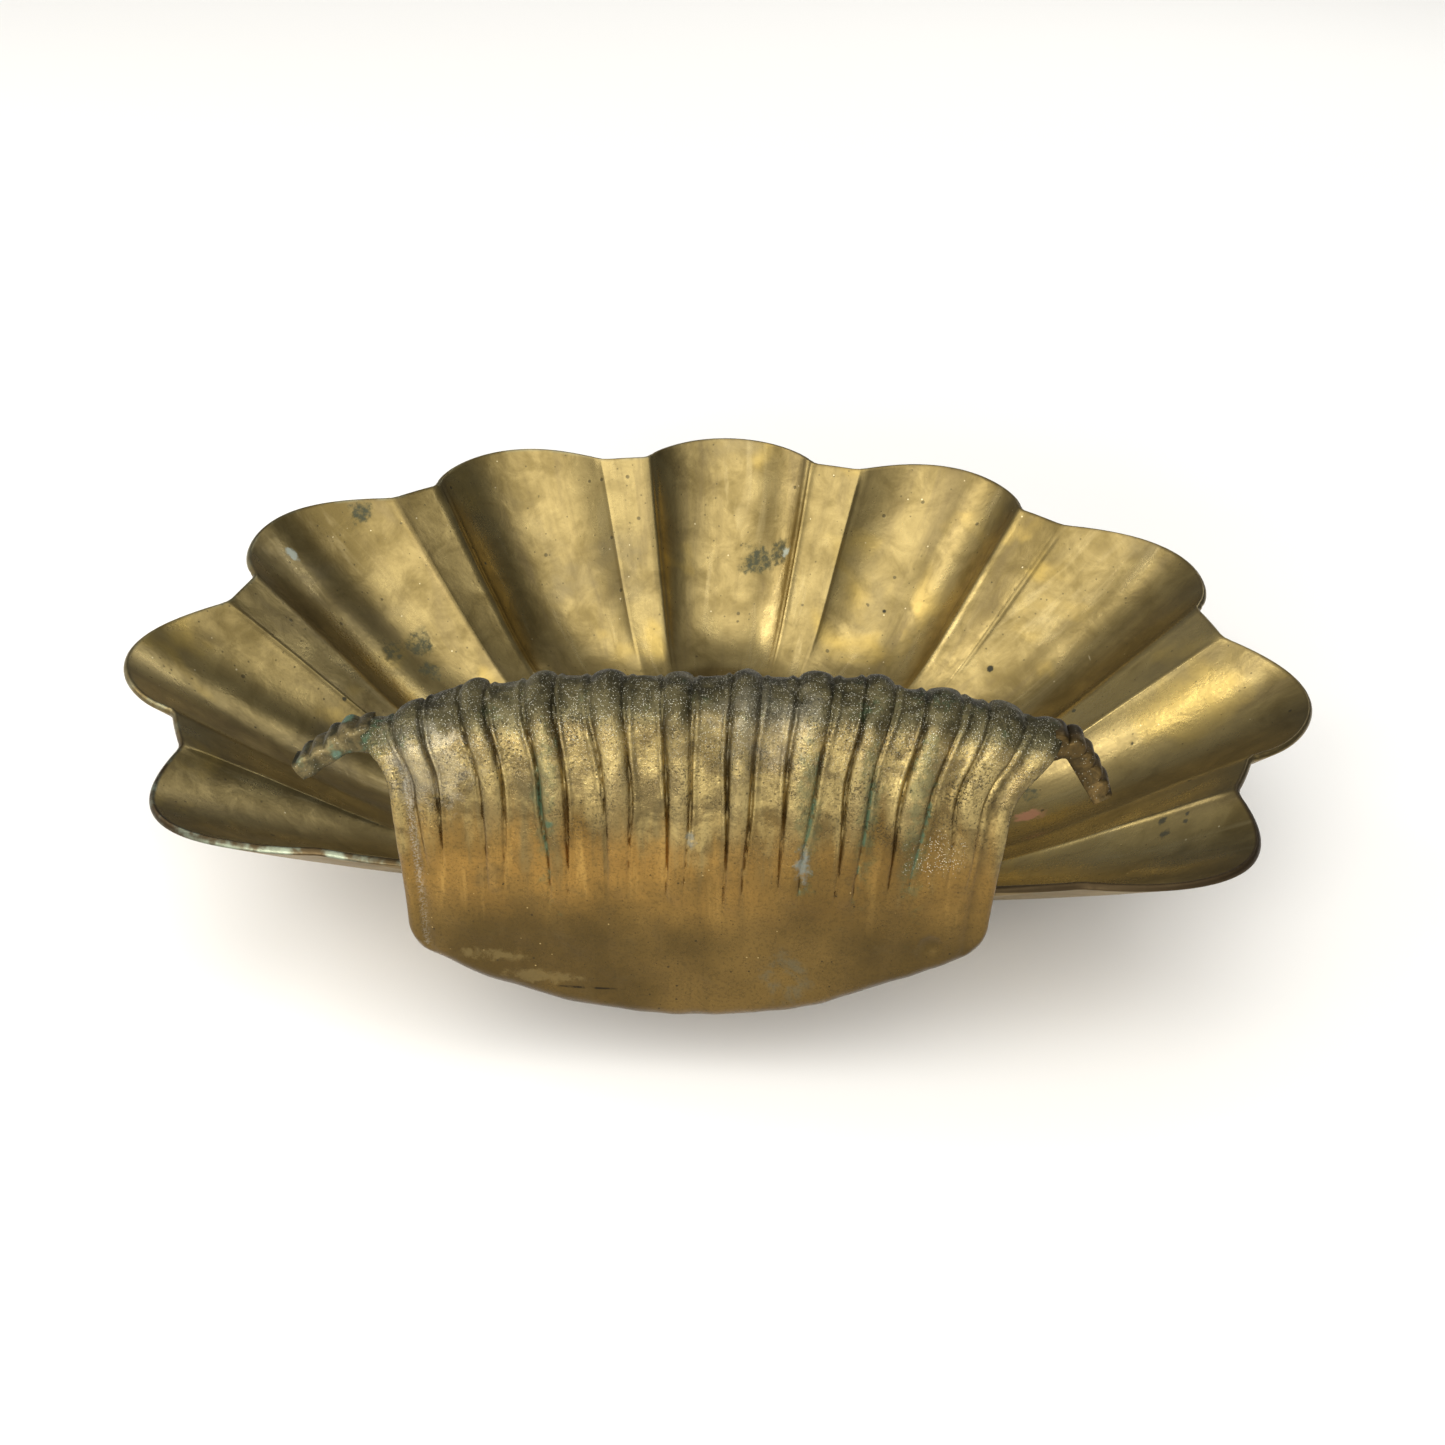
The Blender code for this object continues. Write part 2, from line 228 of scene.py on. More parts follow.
def inside_points(angle, inward):
    """Points of the bowl's inside: inward is 0 at the rim and 1 in the middle."""
    base, extra = plan_rays(angle)
    fade = 1 - smooth(inward / 0.86)
    reach = RADIUS * (base * (1 - inward) + extra * fade)
    z = RIM - RADIUS * side_depth(angle, inward)
    return np.stack([reach * np.sin(angle), reach * np.cos(angle), z], -1)


def inside_normals(angle, inward):
    """Unit normals of the bowl's inside, facing up."""
    step = 0.004
    low = np.maximum(inward - step, 0.0)
    along = inside_points(angle, inward + step) - inside_points(angle, low)
    round_it = inside_points(angle + step, inward) - inside_points(angle - step, inward)
    normal = np.cross(along, round_it)
    normal /= np.linalg.norm(normal, axis=-1, keepdims=True)
    return normal * np.sign(normal[..., 2:3])


def crease_angles():
    """Angle of the sharp edge of each ridge: the edge that faces away from the far lobe."""
    edges = []
    for ridge in range(1, LOBES):
        side = -1 if ridge <= LOBES // 2 else 1
        angle = FIRST_RIDGE + (ridge + side * RIDGE_SHARE) * LOBE_STEP
        edges.append(angle - STRAY * float(stray(angle)))
    return edges


def bowl_relief(angle, inward, points):
    """Height of the fine relief over the bowl's inside: raised creases and hand-finished unevenness."""
    reach = np.hypot(points[..., 0], points[..., 1])
    height = 0.00030 * ripple(points, 0.075, 3) + 0.00008 * ripple(points, 0.024, 4)
    fade = smooth(inward / 0.03) * (1 - smooth((inward - 0.26) / 0.20))
    for edge in crease_angles():
        across = (angle - edge) * reach
        height = height + CREASE_HEIGHT * fade * bell(across, CREASE_HALF)
    return height


# Meshes.


def add_piece(name, points, faces, material, nodes, attributes=None, sharp_degrees=40):
    """A smooth-shaded mesh object that rides on the body and stands for the CAD nodes named."""
    data = bpy.data.meshes.new(name)
    data.from_pydata([tuple(p) for p in points], [], faces)
    for label, values in (attributes or {}).items():
        layer = data.attributes.new(label, "FLOAT", "POINT")
        layer.data.foreach_set("value", np.asarray(values, np.float32))
    data.materials.append(material)
    data.shade_smooth()
    data.set_sharp_from_angle(angle=math.radians(sharp_degrees))
    piece = bpy.data.objects.new(name, data)
    bpy.context.scene.collection.objects.link(piece)
    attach(piece, "root")
    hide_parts(*nodes)
    return piece


def grid_faces(rows, columns, wrap=False, offset=0):
    """Quads of a grid of rows by columns, whose last column joins the first when wrap is set."""
    faces = []
    last = columns if wrap else columns - 1
    for i in range(rows - 1):
        for j in range(last):
            k = (j + 1) % columns
            a, b = offset + i * columns, offset + (i + 1) * columns
            faces.append((a + j, a + k, b + k, b + j))
    return faces


def bowl_columns():
    """Angles of the bowl's columns, closest together along the ridges' edges."""
    angles = []
    lobe_steps, ridge_steps = 60, 14
    shares = (1 - np.cos(np.linspace(0, math.pi, lobe_steps + 1))) / 2
    shares = 0.55 * shares + 0.45 * np.linspace(0, 1, lobe_steps + 1)
    for lobe in range(LOBES):
        across = RIDGE_SHARE + (1 - 2 * RIDGE_SHARE) * shares
        angles.extend(FIRST_RIDGE + (lobe + across) * LOBE_STEP)
        if lobe < LOBES - 1:
            ridge = 1 - RIDGE_SHARE + 2 * RIDGE_SHARE * np.arange(1, ridge_steps) / ridge_steps
            angles.extend(FIRST_RIDGE + (lobe + ridge) * LOBE_STEP)
    angles = np.array(angles)
    angles = angles - STRAY * stray(angles)
    front = np.linspace(angles[-1], 2 * math.pi + angles[0], 100)[1:-1]
    return np.concatenate([angles, np.where(front > math.pi, front - 2 * math.pi, front)])


def bowl_lip(inner, outer, outward):
    """Points round the rounded edge of the sheet, from its inside to its outside."""
    middle, half = (inner + outer) / 2, (inner - outer) / 2
    thickness = np.linalg.norm(half, axis=-1, keepdims=True)
    turns = np.radians([18, 42, 66, 90, 114, 138, 162])
    return [middle + half * math.cos(t) + outward * thickness * 0.55 * math.sin(t) for t in turns]


def make_bowl(material):
    """The nine-lobed bowl in one closed skin: its inside, the rounded rim and its outside."""
    angles = bowl_columns()
    near_rim, side, floor = [0, 0.004, 0.010, 0.018], np.linspace(0.03, 0.62, 46), np.linspace(0.65, 0.97, 12)
    rings = np.concatenate([near_rim, side, floor])
    angle, inward = np.meshgrid(angles, rings)
    inside = inside_points(angle, inward)
    normals = inside_normals(angle, inward)
    relief = bowl_relief(angle, inward, inside)[..., None]
    outside = inside - normals * BOWL_WALL + normals * 0.5 * relief
    outside[..., 2] = np.maximum(outside[..., 2], 0.0)
    inside = inside + normals * relief
    outward = inside[0] - inside[2]
    outward /= np.linalg.norm(outward, axis=-1, keepdims=True)
    lip = bowl_lip(inside[0], outside[0], outward)
    rows = list(inside[::-1]) + lip + list(outside)
    lip_rows = len(inside), len(inside) + len(lip)
    points = np.concatenate(rows)
    edge = np.zeros((len(rows), len(angles)))
    edge[lip_rows[0] - 1 : lip_rows[1] + 2] = 1.0
    under = np.zeros((len(rows), len(angles)))
    under[lip_rows[1] :] = 1.0
    count = len(angles)
    faces = grid_faces(len(rows), count, wrap=True)
    centre_in, centre_out = len(points), len(points) + 1
    points = np.vstack([points, (0, 0, RIM - RADIUS * FLOOR_DEPTH * FLAT_SHARE), (0, 0, 0)])
    last = (len(rows) - 1) * count
    for j in range(count):
        k = (j + 1) % count
        faces.append((centre_in, k, j))
        faces.append((centre_out, last + j, last + k))
    ways = np.concatenate([rings[::-1], np.zeros(len(lip)), rings])
    around = np.broadcast_to(np.unwrap(angles) * RADIUS, edge.shape)
    attributes = {"edge": np.append(edge.ravel(), [0, 0]), "under": np.append(under.ravel(), [0, 1])}
    attributes["around"] = np.append(around.ravel(), [0, 0])
    attributes["inward"] = np.append(np.repeat(ways, count) * RADIUS, [RADIUS, RADIUS])
    return add_piece("bowl_skin", points, faces, material, ["shell_bowl"], attributes, 60)


# The hinge scroll.


def scroll_heights(across):
    """Heights of the scroll's lower and upper edge at a share of its half width."""
    lean = SCROLL_LEAN * across
    low = lean - SCROLL_FOOT_DROP + SCROLL_FOOT_RISE * across**2
    high = lean + SCROLL_HEIGHT / RADIUS - SCROLL_TOP_FALL * across**2
    high = high - SHOULDER_FALL * smooth((np.abs(across) - 0.72) / 0.28)
    past = np.clip((np.abs(across) - 1) * SCROLL_HALF_WIDTH * RADIUS + FOOT_CORNER, 0, 0.98 * FOOT_CORNER)
    rise = FOOT_CORNER - np.sqrt(FOOT_CORNER**2 - past**2)
    return RIM + RADIUS * low + rise, RIM + RADIUS * high


def scroll_face_y(across):
    """Place of the scroll's front face, which follows the bowl's bowed front rim."""
    return -(RADIUS * (FRONT_LINE + FRONT_BOW * (1 - across**2)) + BOWL_WALL + GAP + SCROLL_WALL)


def scroll_half_width(z):
    """Half the scroll's width at a height, without the shoulders."""
    above = (z - RIM) / RADIUS
    widening = SCROLL_WIDENING * smooth((above + 0.15) / 0.5)
    flare = SCROLL_FLARE * smooth((above - 0.16) / 0.26) ** 1.6
    return RADIUS * (SCROLL_HALF_WIDTH + widening + flare)


def shoulder(across, z):
    """How far the scroll's side edges sweep outward as they rise into the horns."""
    rise = smooth(((z - RIM) / RADIUS - 0.13) / 0.13) ** 2
    return RADIUS * SHOULDER_FLARE * rise * across * np.abs(across) ** 7


def roll_radius(across):
    """Radius of the roll along the top, smaller towards its two ends."""
    return RADIUS * ROLL_RADIUS * (1 - ROLL_END_LOSS * smooth((np.abs(across) - 0.70) / 0.30))


def lean_back(z):
    """How far the scroll's upper part leans back from the upright."""
    return LEAN_BACK * smooth((z - RIM - 0.012) / 0.052) ** 1.4


def scroll_profile(across, stage):
    """Points (y, z) of the plain front face and their outward direction, by arrays of equal shape.

    stage runs 0 to 1 along the sole, 1 to 2 round the heel, 2 to 3 up the face and 3 to 4 over the roll.
    """
    low, high = scroll_heights(across)
    face = scroll_face_y(across)
    heel, roll = HEEL_RADIUS * RADIUS, roll_radius(across)
    start = -SOLE_END * RADIUS
    turn_low = math.pi / 2 * np.clip(stage - 1, 0, 1)
    turn_high = (math.pi - ROLL_END) * np.clip(stage - 3, 0, 1)
    share = np.clip(stage - 2, 0, 1)
    y_low = face + heel - heel * np.sin(turn_low)
    z_low = low + heel - heel * np.cos(turn_low)
    y = np.where(stage <= 1, start + (face + heel - start) * stage, y_low)
    z = np.where(stage <= 1, low, z_low + (high - roll - low - heel) * share)
    y = np.where(stage > 3, face + roll - roll * np.cos(turn_high), y)
    z = np.where(stage > 3, high - roll + roll * np.sin(turn_high), z)
    y = y + lean_back(z)
    out_y = np.where(stage <= 2, -np.sin(turn_low), -np.cos(turn_high))
    out_z = np.where(stage <= 2, -np.cos(turn_low), np.sin(turn_high))
    return y, z, out_y, out_z


def reed_centres():
    """The reeds' middles as shares of the half width, set a little unevenly."""
    first = -REED_PITCH * (REEDS - 1) / 2
    return [first + REED_PITCH * i + 0.03 * math.sin(math.pi * i / 8) for i in range(REEDS)]


def reed_relief(across, z, stage):
    """Height of the reeds and of the grooves beside them, and how deep in a groove each point is."""
    height = np.zeros_like(across)
    groove = np.zeros_like(across)
    draw = np.random.RandomState(11)
    above = z - RIM
    near_top = smooth((above - 0.050) / 0.025)
    for centre in reed_centres():
        half = REED_HALF * draw.uniform(0.86, 1.12)
        sway, phase = draw.uniform(0.003, 0.008), draw.uniform(0, 2 * math.pi)
        foot = REED_FOOT + 0.012 * centre**2 + draw.uniform(-0.003, 0.003)
        tall = REED_HEIGHT * draw.uniform(0.8, 1.25)
        middle = centre + sway * np.sin(2 * math.pi * above / 0.085 + phase)
        width = half * (0.78 + 0.34 * smooth((above + 0.01) / 0.08))
        fade = smooth((above - foot) / 0.007) * (0.35 + 0.65 * smooth((above - foot) / 0.055))
        fade = fade * np.where(stage < 2, 0.0, 1.0)
        offset = (across - middle) / width
        reed = np.sqrt(np.clip(1 - offset**2, 0, 1)) ** 1.1
        height = height + tall * (1 - 0.40 * near_top) * reed * fade
        height = height + 0.0010 * bell(offset, 0.90) * near_top * fade
        for side in (-1, 1):
            cut = draw.uniform(0.55, 1.15)
            wander = 0.10 * np.sin(2 * math.pi * above / draw.uniform(0.035, 0.060) + draw.uniform(0, 6))
            away = side * offset - 1.06 - wander
            trough = cut * bell(away, 0.125) * fade * (1 - 0.55 * near_top)
            height = height - GROOVE_DEPTH * trough + GROOVE_LIP * cut * bell(away - 0.36, 0.20) * fade
            groove = np.maximum(groove, trough)
    return height, np.clip(groove, 0, 1)


def scroll_relief(across, y, z, stage):
    """All fine relief of the scroll's front, with the groove mask."""
    height, groove = reed_relief(across, z, stage)
    on_face = smooth((stage - 1.6) / 0.3)
    side = bell(np.abs(across) - 0.935, 0.022) * on_face
    bead = bell(np.abs(across) - 0.975, 0.022) * on_face
    height = height - 0.0008 * side + 0.0005 * bead
    points = np.stack([across * 0.1, y, z], -1)
    height = height + 0.00035 * ripple(points, 0.034, 7) + 0.00014 * ripple(points, 0.012, 8)
    dimple = np.hypot(across * 0.1 - 0.081, z - RIM + 0.018)
    height = height - 0.0006 * bell(dimple, 0.0032) + 0.0004 * bell(dimple - 0.0048, 0.0014)
    rough_lip = smooth((stage - 2.95) / 0.35)
    roughness = 0.00060 * ripple(points, 0.0210, 9) + 0.00016 * ripple(points, 0.0055, 10)
    height = height + rough_lip * roughness
    return height, np.maximum(groove, side * 0.8)


def scroll_columns():
    """Shares of the half width for the scroll's columns, closest together at its side edges."""
    even_end = 0.965
    even = np.linspace(-even_end, even_end, 440)
    edge = 1 - (1 - even_end) * (np.linspace(1, 0, 7)[1:]) ** 1.5
    return np.concatenate([-edge[::-1], even, edge])


def round_edge(across):
    """Share of the wall kept at the scroll's side edges, which are rounded over."""
    return np.sqrt(np.clip((1 - np.abs(across)) / 0.018, 0.0, 1.0)) * 0.30 + 0.70


def scroll_stages():
    """The rows' stages. Each part has its start, its end and its number of rows."""
    parts = [(0, 1, 5), (1, 2, 10), (2, 3, 56), (3, 4, 34)]
    return np.concatenate([np.linspace(a, b, n, endpoint=False) for a, b, n in parts] + [[4.0]])


def make_scroll(material):
    """The reeded scroll as one closed skin: front, back and rounded side edges."""
    across, stage = np.meshgrid(scroll_columns(), scroll_stages())
    y, z, out_y, out_z = scroll_profile(across, stage)
    height, groove = scroll_relief(across, y, z, stage)
    x = across * scroll_half_width(z) + shoulder(across, z)
    keep = round_edge(across)
    lift = height - (1 - keep) * SCROLL_WALL * 0.5
    front = np.stack([x, y + out_y * lift, z + out_z * lift], -1)
    uneven = 0.0003 * ripple(front, 0.025, 12)
    drop = SCROLL_WALL * (1 + keep) / 2 + uneven
    back = np.stack([x, y - out_y * drop, z - out_z * drop], -1)
    rows, columns = across.shape
    points = np.concatenate([front.reshape(-1, 3), back.reshape(-1, 3)])
    size = rows * columns
    faces = grid_faces(rows, columns)
    faces += [tuple(reversed(face)) for face in grid_faces(rows, columns, offset=size)]
    border = [(i * columns, (i + 1) * columns) for i in range(rows - 1)]
    faces += [(a, b, b + size, a + size) for a, b in border]
    border = [(i * columns + columns - 1, (i + 1) * columns + columns - 1) for i in range(rows - 1)]
    faces += [(b, a, a + size, b + size) for a, b in border]
    top = (rows - 1) * columns
    faces += [(j + 1, j, j + size, j + 1 + size) for j in range(columns - 1)]
    faces += [(top + j, top + j + 1, top + j + 1 + size, top + j + size) for j in range(columns - 1)]
    attributes = {
        "groove": np.concatenate([groove.ravel(), np.zeros(size)]),
        "lip": np.concatenate([smooth((stage - 2.72) / 0.80).ravel(), np.full(size, 0.6)]),
        "raised": np.concatenate([np.clip((height - 0.0003) / 0.0014, 0, 1).ravel(), np.zeros(size)]),
    }
    nodes = ["hinge_scroll"]
    return add_piece("scroll_skin", points, faces, material, nodes, attributes, 60)


# Horns and braze.


def horn_line(side, stations):
    """Centres, upward directions and shares of length along a horn."""
    sign = -1 if side == "left" else 1
    _, high = scroll_heights(float(sign))
    z = high - HORN_SET_DOWN * RADIUS - 0.0016
    x = scroll_half_width(z) + float(shoulder(1.0, z)) - 0.0012
    y0 = scroll_face_y(1.0) + float(roll_radius(1.0)) + LEAN_BACK
    length = (HORN_LENGTH[side] - 0.8 * SHOULDER_FLARE) * RADIUS + 0.0012
    droop = HORN_DROOP[side]
    centres, ups = [], []
    for i in range(stations):
        share = i / (stations - 1)
        turn = droop * float(smooth(share / 0.45))
        centres.append((sign * x, y0 - 0.02 * RADIUS * share**2, z))
        ups.append((sign * math.sin(turn), 0.0, math.cos(turn)))
        step = length / (stations - 1)
        middle = droop * float(smooth((i + 0.5) / (stations - 1) / 0.45))
        x += step * math.cos(middle)
        z -= step * math.sin(middle)
    return np.array(centres), np.array(ups), np.linspace(0, 1, stations)


def make_horn(side, material):
    """A crimped horn: a flat bar with notches pressed across its upper side and a square-cut tip."""
    stations, around = 150, 40
    centres, ups, shares = horn_line(side, stations)
    turns = np.linspace(0, 2 * math.pi, around, endpoint=False)
    deep, tall = np.cos(turns), np.sin(turns)
    squared = (np.abs(deep) ** 6 + np.abs(tall) ** 6) ** (-1 / 6)
    deep, tall = deep * squared, tall * squared
    points, wear = [], []
    for centre, up, share in zip(centres, ups, shares):
        slim = 1.12 - 0.16 * share
        web = 1.0 + HORN_WEB * (1 - float(smooth(share / 0.30)))
        fold = abs(math.sin(math.pi * CRIMPS * share + 0.6)) ** CRIMP_POWER[side]
        notch = CRIMP_DEPTH[side] * (1 - fold) * float(smooth(share / 0.12))
        cut = notch * smooth((tall - 0.2) / 0.7)
        waist = 1.0 - 0.02 * (1 - fold)
        rise = np.where(tall < 0, web, 1.0) * tall * HORN_HEIGHT * RADIUS / 2 * slim - cut
        depth = deep * HORN_DEPTH * RADIUS / 2 * waist * (1.08 - 0.12 * share)
        ring = centre + np.outer(rise, up) + np.outer(depth, (0, 1, 0))
        points.append(ring)
        wear.append(smooth((tall - 0.6) / 0.4) * fold)
    points = np.concatenate(points)
    away = points - np.repeat(centres, around, axis=0)
    away /= np.linalg.norm(away, axis=-1, keepdims=True)
    points = points + away * (HORN_LUMPS[side] * ripple(points, 0.0065, 21))[:, None]
    faces = grid_faces(stations, around, wrap=True)
    points, faces = close_horn(points, faces, stations, around)
    if side == "right":
        faces = [tuple(reversed(face)) for face in faces]
    wear = np.concatenate(wear)
    wear = np.append(wear, np.zeros(len(points) - len(wear)))
    name, node = f"horn_{side}_bar", f"{side}_horn"
    return add_piece(name, points, faces, material, [node], {"wear": wear}, 35)


def close_horn(points, faces, stations, around):
    """Adds a cap to each end, with one inner ring so that the cut face stays flat."""
    for start, flip in ((0, False), ((stations - 1) * around, True)):
        ring = points[start : start + around]
        middle = ring.mean(axis=0)
        offset = len(points)
        points = np.vstack([points, middle + (ring - middle) * 0.86, middle])
        for j in range(around):
            k = (j + 1) % around
            quad = (start + j, offset + j, offset + k, start + k)
            fan = (offset + j, offset + around, offset + k)
            faces.append(tuple(reversed(quad)) if flip else quad)
            faces.append(tuple(reversed(fan)) if flip else fan)
    return points, faces


def make_braze(material):
    """The lumpy braze fillet on the bowl's front rim, against the back of the scroll."""
    stations, around = 260, 20
    turns = np.linspace(0, 2 * math.pi, around, endpoint=False)
    rings = []
    for share in np.linspace(-0.93, 0.93, stations):
        bulge = 1 + 0.16 * math.sin(share * 61) + 0.10 * math.sin(share * 143 + 1)
        taper = float(smooth((0.94 - abs(share)) / 0.05)) * 0.75 + 0.25
        wall = scroll_face_y(share) + SCROLL_WALL
        across = 0.5 * BRAZE_SIZE * taper * bulge * (1 + np.cos(turns))
        rise = 0.5 * BRAZE_SIZE * taper * bulge * (1 + np.sin(turns))
        slump = 1 - 0.35 * smooth((across + rise) / BRAZE_SIZE - 0.9)
        x = np.full(around, share * scroll_half_width(RIM))
        rings.append(np.stack([x, wall + across * slump, RIM - 0.0002 + rise * slump], -1))
    points = np.concatenate(rings)
    faces = grid_faces(stations, around, wrap=True)
    faces.append(tuple(reversed(range(around))))
    faces.append(tuple(range((stations - 1) * around, stations * around)))
    return add_piece("braze_seam", points, faces, material, ["braze_fillet"])


# Material helpers.


class Shade:
    """A small helper that builds one node material."""

    def __init__(self, name):
        self.material = bpy.data.materials.new(name)
        self.material.use_nodes = True
        self.tree = self.material.node_tree
        self.shader = self.tree.nodes["Principled BSDF"]
        self.place = self.tree.nodes.new("ShaderNodeTexCoord").outputs["Object"]

    def connect(self, value, socket):
        if isinstance(value, bpy.types.NodeSocket):
            self.tree.links.new(value, socket)
        else:
            socket.default_value = value

    def math(self, operation, a, b=0.0, c=0.0):
        node = self.tree.nodes.new("ShaderNodeMath")
        node.operation = operation
        for value, socket in zip((a, b, c), node.inputs):
            self.connect(value, socket)
        return node.outputs[0]

    def chain(self, operation, values):
        total = values[0]
        for value in values[1:]:
            total = self.math(operation, total, value)
        return total

    def times(self, *values):
        return self.chain("MULTIPLY", values)

    def most(self, *values):
        return self.chain("MAXIMUM", values)

    def ease(self, value, low, high, out_low=0.0, out_high=1.0):
        """Eases value from low to high onto out_low to out_high."""
        node = self.tree.nodes.new("ShaderNodeMapRange")
        node.interpolation_type = "SMOOTHSTEP"
        for item, socket in zip((value, low, high, out_low, out_high), node.inputs):
            self.connect(item, socket)
        return node.outputs[0]

    def mix(self, share, a, b):
        node = self.tree.nodes.new("ShaderNodeMix")
        node.data_type = "RGBA"
        self.connect(share, node.inputs["Factor"])
        colours = [socket for socket in node.inputs if socket.type == "RGBA"]
        for value, socket in zip((a, b), colours):
            self.connect((*value, 1.0) if isinstance(value, tuple) else value, socket)
        return next(socket for socket in node.outputs if socket.type == "RGBA")

    def noise(self, scale, detail=3.0, roughness=0.5, place=None, distortion=0.0):
        node = self.tree.nodes.new("ShaderNodeTexNoise")
        self.connect(place or self.place, node.inputs["Vector"])
        settings = {"Scale": scale, "Detail": detail, "Roughness": roughness, "Distortion": distortion}
        for label, value in settings.items():
            node.inputs[label].default_value = value
        return node.outputs[0]

    def cells(self, scale, place=None):
        """Distance to the nearest random point, and that point's own random number."""
        node = self.tree.nodes.new("ShaderNodeTexVoronoi")
        self.connect(place or self.place, node.inputs["Vector"])
        node.inputs["Scale"].default_value = scale
        split = self.tree.nodes.new("ShaderNodeSeparateColor")
        self.tree.links.new(node.outputs["Color"], split.inputs[0])
        return node.outputs["Distance"], split.outputs[0]

    def specks(self, scale, size, share):
        """Small round spots: their size over the cell's, and the share of cells that hold one."""
        distance, luck = self.cells(scale)
        return self.times(self.ease(distance, size, size * 0.6), self.math("LESS_THAN", luck, share))

    def stretched(self, scale, turn=(0.0, 0.0, 0.0)):
        node = self.tree.nodes.new("ShaderNodeMapping")
        self.connect(self.place, node.inputs["Vector"])
        node.inputs["Rotation"].default_value = turn
        node.inputs["Scale"].default_value = scale
        return node.outputs[0]

    def axis(self, index):
        node = self.tree.nodes.new("ShaderNodeSeparateXYZ")
        self.connect(self.place, node.inputs[0])
        return node.outputs[index]

    def layer(self, name):
        node = self.tree.nodes.new("ShaderNodeAttribute")
        node.attribute_name = name
        return node.outputs["Fac"]

    def joined(self, a, b, scale_b):
        """A texture place made of two surface layers, the second one stretched."""
        node = self.tree.nodes.new("ShaderNodeCombineXYZ")
        self.connect(a, node.inputs[0])
        self.connect(self.math("MULTIPLY", b, scale_b), node.inputs[1])
        return node.outputs[0]

    def vector(self, operation, a, b=(0.0, 0.0, 0.0)):
        node = self.tree.nodes.new("ShaderNodeVectorMath")
        node.operation = operation
        self.connect(a, node.inputs[0])
        node.inputs[1].default_value = b
        return node.outputs

    def blotch(self, centre, radius, wobble, stretch=(1.0, 1.0, 1.0)):
        """A ragged patch round a place on the surface: 1 inside it, 0 outside."""
        away = self.vector("SUBTRACT", self.place, centre)[0]
        length = self.vector("LENGTH", self.vector("MULTIPLY", away, stretch)[0])["Value"]
        uneven = self.math("SUBTRACT", wobble, 0.5)
        return self.ease(self.math("MULTIPLY_ADD", uneven, 2.6 * radius, length), radius, radius * 0.45)

    def bumps(self, *layers):
        """Chains bump nodes: each layer is (height, strength, distance)."""
        normal = None
        for height, strength, distance in layers:
            node = self.tree.nodes.new("ShaderNodeBump")
            node.inputs["Strength"].default_value = strength
            node.inputs["Distance"].default_value = distance
            self.connect(height, node.inputs["Height"])
            if normal:
                self.connect(normal, node.inputs["Normal"])
            normal = node.outputs[0]
        self.connect(normal, self.shader.inputs["Normal"])

    def finish(self, colour, roughness, metallic):
        for label, value in (("Base Color", colour), ("Roughness", roughness), ("Metallic", metallic)):
            self.connect(value, self.shader.inputs[label])
        return self.material


def on_bowl(degrees, inward):
    """The place on the bowl's inside at an angle and a share of the way in."""
    point = inside_points(np.array(math.radians(degrees)), np.array(inward))
    return tuple(float(v) for v in point)


def on_scroll(x, above):
    """The place on the scroll's face at a distance from its middle and a height above the rim."""
    across = x / float(scroll_half_width(RIM + above))
    return x, float(scroll_face_y(across)), RIM + above


def scratches(shade, scale, thin, share):
    """Fine straight scratches that run in several directions, as a mask."""
    lines = []
    for turn in ((0.3, 0.2, 0.5), (1.1, 0.4, 2.0), (0.1, 0.9, 1.2)):
        place = shade.stretched((scale, scale * 0.035, scale), turn)
        distance, luck = shade.cells(1.0, place)
        line = shade.ease(distance, thin, thin * 0.4)
        lines.append(shade.times(line, shade.math("LESS_THAN", luck, share)))
    return shade.most(*lines)


